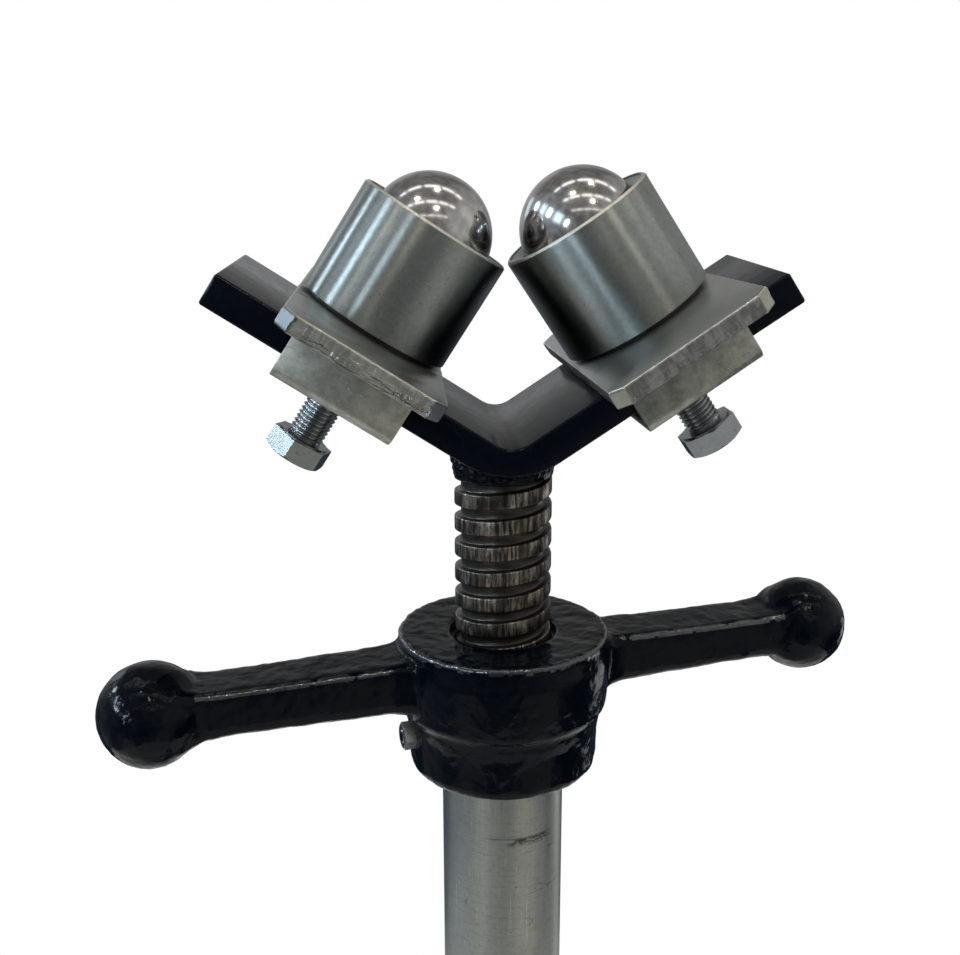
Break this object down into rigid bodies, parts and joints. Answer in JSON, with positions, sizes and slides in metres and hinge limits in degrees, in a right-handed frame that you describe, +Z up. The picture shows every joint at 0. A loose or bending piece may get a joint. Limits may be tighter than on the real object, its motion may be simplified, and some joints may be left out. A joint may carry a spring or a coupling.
{
  "type": "pipe stand",
  "caption": "Height-adjustable pipe stand with a screw jack, a two-arm handle nut and a V head that carries a pipe on two clamped ball transfer units.",
  "frame": {"origin": "on the floor, on the axis of the mast", "axes": "+Z up along the mast, +Y along the pipe that lies in the V, +X towards the right arm of the V"},
  "size_m": [0.5156, 0.5156, 0.9752],
  "materials": {
    "paint": "gloss black enamel over cast and sawn steel",
    "zinc": "zinc plated",
    "steel": "bare drawn steel tube",
    "oiled": "oiled machined steel",
    "polished": "polished hardened steel",
    "rubber": "moulded black rubber"
  },
  "bodies": {
    "base": {"outer_tube": "paint", "leg_brackets": "paint", "pivot_bolts": "zinc", "pivot_nuts": "zinc"},
    "leg_front_left": {"leg_front_left": "paint", "foot_front_left": "rubber"},
    "leg_front_right": {"leg_front_right": "paint", "foot_front_right": "rubber"},
    "leg_rear_left": {"leg_rear_left": "paint", "foot_rear_left": "rubber"},
    "leg_rear_right": {"leg_rear_right": "paint", "foot_rear_right": "rubber"},
    "pin": {"height_pin": "zinc"},
    "mast": {"mast_tube": "steel"},
    "handle": {"handle_nut": "paint", "thread_bush": "oiled", "retaining_screw": "zinc", "retaining_locknut": "zinc"},
    "jack": {"jack_screw": "oiled", "guide_ring": "oiled", "v_bar": "paint", "weld_bead": "paint"},
    "unit_left": {"clamp_plate_left": "zinc", "clamp_channel_left": "zinc", "cup_screw_left": "zinc", "cup_left": "zinc", "ball_seat_left": "steel", "retaining_ring_left": "steel"},
    "bolt_left": {"clamp_bolt_left": "zinc"},
    "bearings_left": {"bearing_balls_left": "polished"},
    "ball_left": {"main_ball_left": "polished"},
    "unit_right": {"clamp_plate_right": "zinc", "clamp_channel_right": "zinc", "cup_screw_right": "zinc", "cup_right": "zinc", "ball_seat_right": "steel", "retaining_ring_right": "steel"},
    "bolt_right": {"clamp_bolt_right": "zinc"},
    "bearings_right": {"bearing_balls_right": "polished"},
    "ball_right": {"main_ball_right": "polished"}
  },
  "joints": [
    {"name": "leg_fold_front_left", "type": "hinge", "parent": "base", "child": "leg_front_left", "pos_m": [-0.0397, -0.0397, 0.24], "axis": [0.7071, -0.7071, 0], "range_deg": [0, 47]},
    {"name": "leg_fold_front_right", "type": "hinge", "parent": "base", "child": "leg_front_right", "pos_m": [0.0397, -0.0397, 0.24], "axis": [0.7071, 0.7071, 0], "range_deg": [0, 47]},
    {"name": "leg_fold_rear_left", "type": "hinge", "parent": "base", "child": "leg_rear_left", "pos_m": [-0.0397, 0.0397, 0.24], "axis": [-0.7071, -0.7071, 0], "range_deg": [0, 47]},
    {"name": "leg_fold_rear_right", "type": "hinge", "parent": "base", "child": "leg_rear_right", "pos_m": [0.0397, 0.0397, 0.24], "axis": [-0.7071, 0.7071, 0], "range_deg": [0, 47]},
    {"name": "pin_pull", "type": "slide", "parent": "base", "child": "pin", "axis": [1, 0, 0], "range_m": [0, 0.11]},
    {"name": "mast_height", "type": "slide", "parent": "base", "child": "mast", "axis": [0, 0, 1], "range_m": [0, 0.2]},
    {"name": "handle_turn", "type": "hinge", "parent": "mast", "child": "handle", "pos_m": [0, 0, 0.8], "axis": [0, 0, 1], "range_deg": [-3600, 2160]},
    {"name": "screw_lift", "type": "slide", "parent": "mast", "child": "jack", "axis": [0, 0, 1], "range_m": [-0.06, 0.1]},
    {"name": "head_slide_left", "type": "slide", "parent": "jack", "child": "unit_left", "axis": [-0.8396, 0, 0.5432], "range_m": [0, 0.027]},
    {"name": "bolt_travel_left", "type": "slide", "parent": "unit_left", "child": "bolt_left", "axis": [-0.5432, 0, -0.8396], "range_m": [0, 0.004]},
    {"name": "bearing_turn_left", "type": "hinge", "parent": "unit_left", "child": "bearings_left", "pos_m": [-0.02657, 0, 0.95093], "axis": [0.5432, 0, 0.8396], "continuous": true},
    {"name": "ball_roll_left", "type": "hinge", "parent": "bearings_left", "child": "ball_left", "pos_m": [-0.02657, 0, 0.95093], "axis": [0, 1, 0], "continuous": true},
    {"name": "head_slide_right", "type": "slide", "parent": "jack", "child": "unit_right", "axis": [0.8339, 0, 0.5519], "range_m": [0, 0.022]},
    {"name": "bolt_travel_right", "type": "slide", "parent": "unit_right", "child": "bolt_right", "axis": [0.5519, 0, -0.8339], "range_m": [0, 0.004]},
    {"name": "bearing_turn_right", "type": "hinge", "parent": "unit_right", "child": "bearings_right", "pos_m": [0.02815, 0, 0.95275], "axis": [-0.5519, 0, 0.8339], "continuous": true},
    {"name": "ball_roll_right", "type": "hinge", "parent": "bearings_right", "child": "ball_right", "pos_m": [0.02815, 0, 0.95275], "axis": [0, 1, 0], "continuous": true}
  ],
  "couplings": [
    {"joint": "screw_lift", "follows": "handle_turn", "m_per_rad": -0.0015915}
  ]
}
